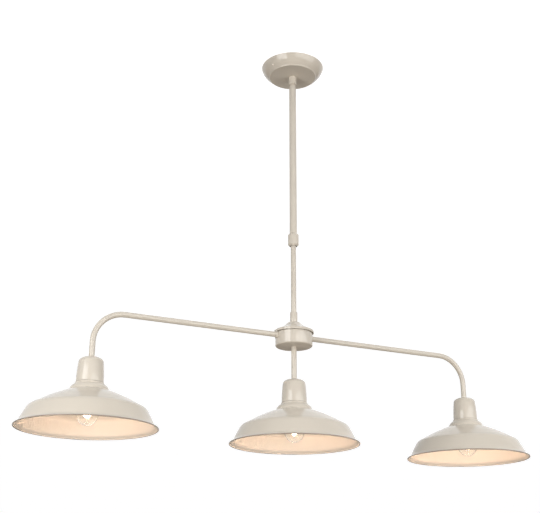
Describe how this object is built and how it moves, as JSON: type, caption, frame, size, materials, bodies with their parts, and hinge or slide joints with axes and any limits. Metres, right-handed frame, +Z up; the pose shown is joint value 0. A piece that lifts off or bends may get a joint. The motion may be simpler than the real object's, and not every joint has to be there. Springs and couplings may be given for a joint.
{
  "type": "linear island pendant",
  "caption": "Telescopic stem pendant with a round hub, two bent arms and a drop tube, each ending in a capped wide metal shade with a clear golf-ball lamp.",
  "frame": {"origin": "on the stem's axis in the plane of the ceiling", "axes": "+Z up out of the ceiling face, +X along the arms, -Y towards the viewer"},
  "size_m": [1.264, 0.3, 0.9885],
  "materials": {
    "stone_paint": "gloss stone-coloured paint on steel",
    "zinc_steel": "bright zinc plate",
    "nickel": "nickel plate",
    "brass_fitting": "turned brass",
    "white_nylon": "natural nylon",
    "black_nylon": "black nylon",
    "holder_resin": "moulded heat-resisting resin",
    "flex_sheath": "plastic sheath over copper cores",
    "clear_glass": "blown clear glass",
    "lamp_glass_mount": "pressed glass foot with support wires",
    "tungsten": "coiled tungsten wire"
  },
  "bodies": {
    "ceiling_and_upper_stem": {"ceiling_bracket": "zinc_steel", "canopy": "stone_paint", "canopy_side_screws": "nickel", "top_washer": "zinc_steel", "top_locknut": "brass_fitting", "top_nipple": "zinc_steel", "cord_grip": "white_nylon", "supply_terminal_block": "white_nylon", "canopy_cores": "flex_sheath", "top_coupler": "stone_paint", "stem_top_plug": "stone_paint", "upper_stem": "stone_paint", "clamp_collet": "black_nylon", "upper_supply_flex": "flex_sheath"},
    "locking_collar": {"height_collar": "stone_paint"},
    "stem_guide": {"guide_bush": "white_nylon"},
    "hub_arms_and_shades": {"lower_stem": "stone_paint", "hub_coupler": "stone_paint", "hub_lid": "stone_paint", "hub_drum": "stone_paint", "arm_ferrules": "stone_paint", "arm_left": "stone_paint", "arm_right": "stone_paint", "drop_tube": "stone_paint", "guide_clips": "zinc_steel", "lower_supply_flex": "flex_sheath", "hub_centre_rod": "zinc_steel", "hub_locknuts": "brass_fitting", "hub_terminal_block": "white_nylon", "arm_locknuts": "brass_fitting", "lamp_leads": "flex_sheath", "cap_nipples": "zinc_steel", "cap_locknuts": "brass_fitting", "shade_left": "stone_paint", "shade_cap_left": "stone_paint", "lampholder_left": "holder_resin", "shade_ring_left": "holder_resin", "lamp_glass_left": "clear_glass", "lamp_cap_left": "nickel", "lamp_mount_left": "lamp_glass_mount", "filament_left": "tungsten", "shade_centre": "stone_paint", "shade_cap_centre": "stone_paint", "lampholder_centre": "holder_resin", "shade_ring_centre": "holder_resin", "lamp_glass_centre": "clear_glass", "lamp_cap_centre": "nickel", "lamp_mount_centre": "lamp_glass_mount", "filament_centre": "tungsten", "shade_right": "stone_paint", "shade_cap_right": "stone_paint", "lampholder_right": "holder_resin", "shade_ring_right": "holder_resin", "lamp_glass_right": "clear_glass", "lamp_cap_right": "nickel", "lamp_mount_right": "lamp_glass_mount", "filament_right": "tungsten"}
  },
  "joints": [
    {"name": "collar_turn", "type": "hinge", "parent": "ceiling_and_upper_stem", "child": "locking_collar", "pos_m": [0, 0, -0.487], "axis": [0, 0, 1], "range_deg": [0, 270]},
    {"name": "stem_slide", "type": "slide", "parent": "ceiling_and_upper_stem", "child": "stem_guide", "axis": [0, 0, 1], "range_m": [-0.165, 0.16], "deforming": ["upper_supply_flex"]},
    {"name": "stem_swivel", "type": "hinge", "parent": "stem_guide", "child": "hub_arms_and_shades", "pos_m": [0, 0, -0.25], "axis": [0, 0, 1], "range_deg": [-170, 170]}
  ]
}
